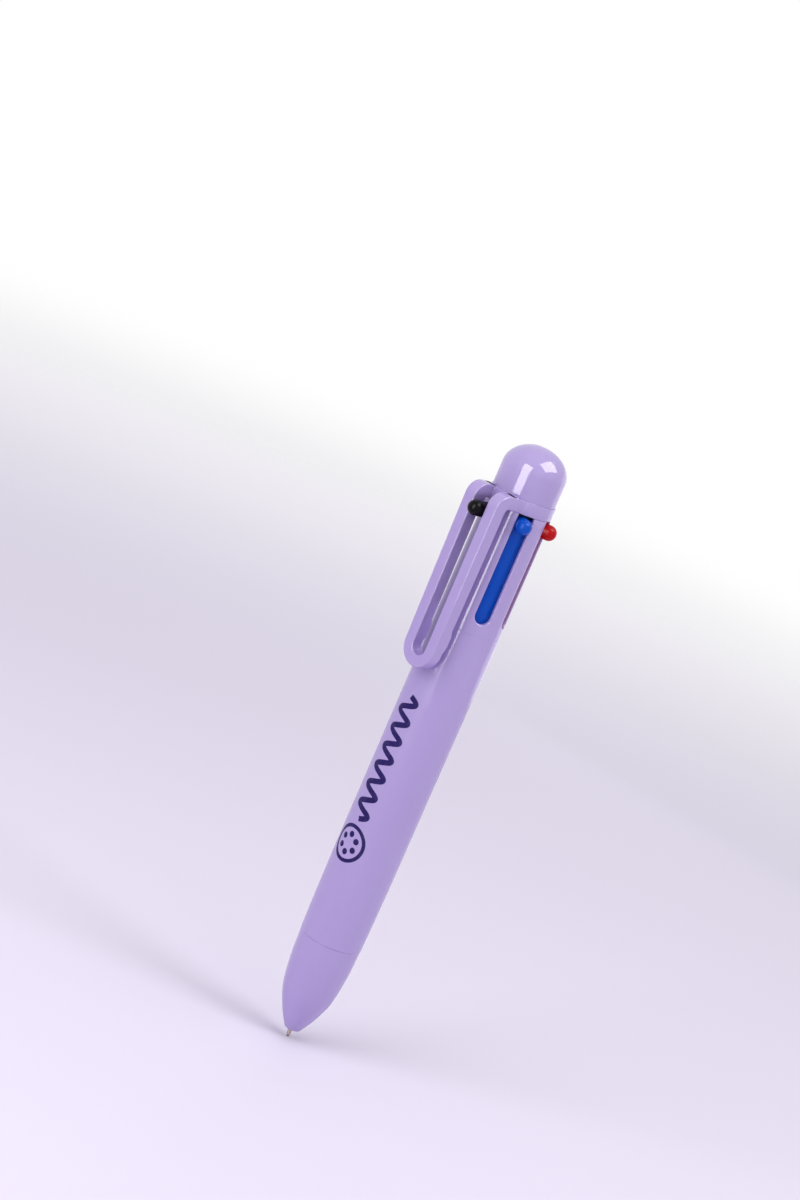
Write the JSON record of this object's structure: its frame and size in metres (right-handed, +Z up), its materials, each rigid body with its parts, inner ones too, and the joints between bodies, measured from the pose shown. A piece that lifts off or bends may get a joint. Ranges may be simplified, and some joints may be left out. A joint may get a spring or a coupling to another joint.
{
  "type": "multicolor click pen",
  "caption": "Lilac ballpoint with a ring of coloured slides under a domed cap, each pushing its own refill out of the nose, and a looped pocket clip.",
  "frame": {"origin": "on the pen's axis at the open end of the nose", "axes": "+Z up along the pen's axis towards the domed cap, -Y towards the pocket clip, +X to the right seen from the clip"},
  "size_m": [0.0176, 0.0244, 0.1435],
  "materials": {
    "lilac_plastic": "glossy moulded polystyrene",
    "white_plastic": "satin moulded acetal",
    "black_core_plastic": "satin moulded acetal",
    "tube_plastic": "extruded natural polypropylene",
    "spring_steel": "drawn wire",
    "nickel_silver": "turned nickel silver",
    "carbide_ball": "polished ball",
    "black_plastic": "glossy moulded plastic",
    "blue_plastic": "glossy moulded plastic",
    "red_plastic": "glossy moulded plastic",
    "green_plastic": "glossy moulded plastic",
    "orange_plastic": "glossy moulded plastic",
    "purple_plastic": "glossy moulded plastic"
  },
  "bodies": {
    "barrel": {"nose_cone": "lilac_plastic", "front_barrel": "lilac_plastic", "upper_sleeve": "lilac_plastic", "clip_collar": "lilac_plastic", "end_cap": "lilac_plastic", "guide_core": "black_core_plastic", "spring_plate": "white_plastic", "black_spring": "spring_steel", "blue_spring": "spring_steel", "red_spring": "spring_steel", "green_spring": "spring_steel", "orange_spring": "spring_steel", "purple_spring": "spring_steel"},
    "clip": {"clip_arm": "lilac_plastic"},
    "black_slide": {"black_slide": "black_plastic", "black_refill_tube": "tube_plastic"},
    "black_point": {"black_metal_point": "nickel_silver", "black_point_ball": "carbide_ball"},
    "blue_slide": {"blue_slide": "blue_plastic", "blue_refill_tube": "tube_plastic"},
    "blue_point": {"blue_metal_point": "nickel_silver", "blue_point_ball": "carbide_ball"},
    "red_slide": {"red_slide": "red_plastic", "red_refill_tube": "tube_plastic"},
    "red_point": {"red_metal_point": "nickel_silver", "red_point_ball": "carbide_ball"},
    "green_slide": {"green_slide": "green_plastic", "green_refill_tube": "tube_plastic"},
    "green_point": {"green_metal_point": "nickel_silver", "green_point_ball": "carbide_ball"},
    "orange_slide": {"orange_slide": "orange_plastic", "orange_refill_tube": "tube_plastic"},
    "orange_point": {"orange_metal_point": "nickel_silver", "orange_point_ball": "carbide_ball"},
    "purple_slide": {"purple_slide": "purple_plastic", "purple_refill_tube": "tube_plastic"},
    "purple_point": {"purple_metal_point": "nickel_silver", "purple_point_ball": "carbide_ball"}
  },
  "joints": [
    {"name": "clip_flex", "type": "hinge", "parent": "barrel", "child": "clip", "pos_m": [0, -0.0079, 0.1285], "axis": [-1, 0, 0], "range_deg": [0, 4], "stiffness_Nm_per_rad": 2.5},
    {"name": "black_click", "type": "slide", "parent": "barrel", "child": "black_slide", "axis": [0, 0, 1], "range_m": [-0.018, 0], "stiffness_N_per_m": 60, "springref_m": 0.006, "deforming": ["black_spring"]},
    {"name": "black_swing", "type": "hinge", "parent": "black_slide", "child": "black_point", "pos_m": [0, -0.0035, 0.0439], "axis": [0.9944, 0.106, 0], "range_deg": [0, 5.99], "deforming": ["black_refill_tube"]},
    {"name": "blue_click", "type": "slide", "parent": "barrel", "child": "blue_slide", "axis": [0, 0, -1], "range_m": [0, 0.018], "stiffness_N_per_m": 60, "springref_m": -0.006, "deforming": ["blue_spring"]},
    {"name": "blue_swing", "type": "hinge", "parent": "blue_slide", "child": "blue_point", "pos_m": [0.00303, -0.00175, 0.0439], "axis": [0.5, 0.866, 0], "range_deg": [0, 5.78], "deforming": ["blue_refill_tube"]},
    {"name": "red_click", "type": "slide", "parent": "barrel", "child": "red_slide", "axis": [0, 0, 1], "range_m": [-0.018, 0], "stiffness_N_per_m": 60, "springref_m": 0.006, "deforming": ["red_spring"]},
    {"name": "red_swing", "type": "hinge", "parent": "red_slide", "child": "red_point", "pos_m": [0.00303, 0.00175, 0.0439], "axis": [-0.4054, 0.9142, 0], "range_deg": [0, 5.99], "deforming": ["red_refill_tube"]},
    {"name": "green_click", "type": "slide", "parent": "barrel", "child": "green_slide", "axis": [0, 0, -1], "range_m": [0, 0.018], "stiffness_N_per_m": 60, "springref_m": -0.006, "deforming": ["green_spring"]},
    {"name": "green_swing", "type": "hinge", "parent": "green_slide", "child": "green_point", "pos_m": [0, 0.0035, 0.0439], "axis": [-0.9944, -0.106, 0], "range_deg": [0, 5.99], "deforming": ["green_refill_tube"]},
    {"name": "orange_click", "type": "slide", "parent": "barrel", "child": "orange_slide", "axis": [0, 0, 1], "range_m": [0, 0.018], "deforming": ["orange_spring"]},
    {"name": "orange_swing", "type": "hinge", "parent": "orange_slide", "child": "orange_point", "pos_m": [-0.00303, 0.00175, 0.0259], "axis": [-0.5, -0.866, 0], "range_deg": [-5.78, 0], "deforming": ["orange_refill_tube"]},
    {"name": "purple_click", "type": "slide", "parent": "barrel", "child": "purple_slide", "axis": [0, 0, -1], "range_m": [0, 0.018], "stiffness_N_per_m": 60, "springref_m": -0.006, "deforming": ["purple_spring"]},
    {"name": "purple_swing", "type": "hinge", "parent": "purple_slide", "child": "purple_point", "pos_m": [-0.00303, -0.00175, 0.0439], "axis": [0.4054, -0.9142, 0], "range_deg": [0, 5.99], "deforming": ["purple_refill_tube"]}
  ],
  "couplings": [
    {"joint": "black_swing", "follows": "black_click", "rad_per_m": -5.8023},
    {"joint": "blue_swing", "follows": "blue_click", "rad_per_m": 5.604},
    {"joint": "red_swing", "follows": "red_click", "rad_per_m": -5.8023},
    {"joint": "green_swing", "follows": "green_click", "rad_per_m": 5.8023},
    {"joint": "orange_swing", "follows": "orange_click", "rad_per_m": -5.604},
    {"joint": "purple_swing", "follows": "purple_click", "rad_per_m": 5.8023}
  ]
}
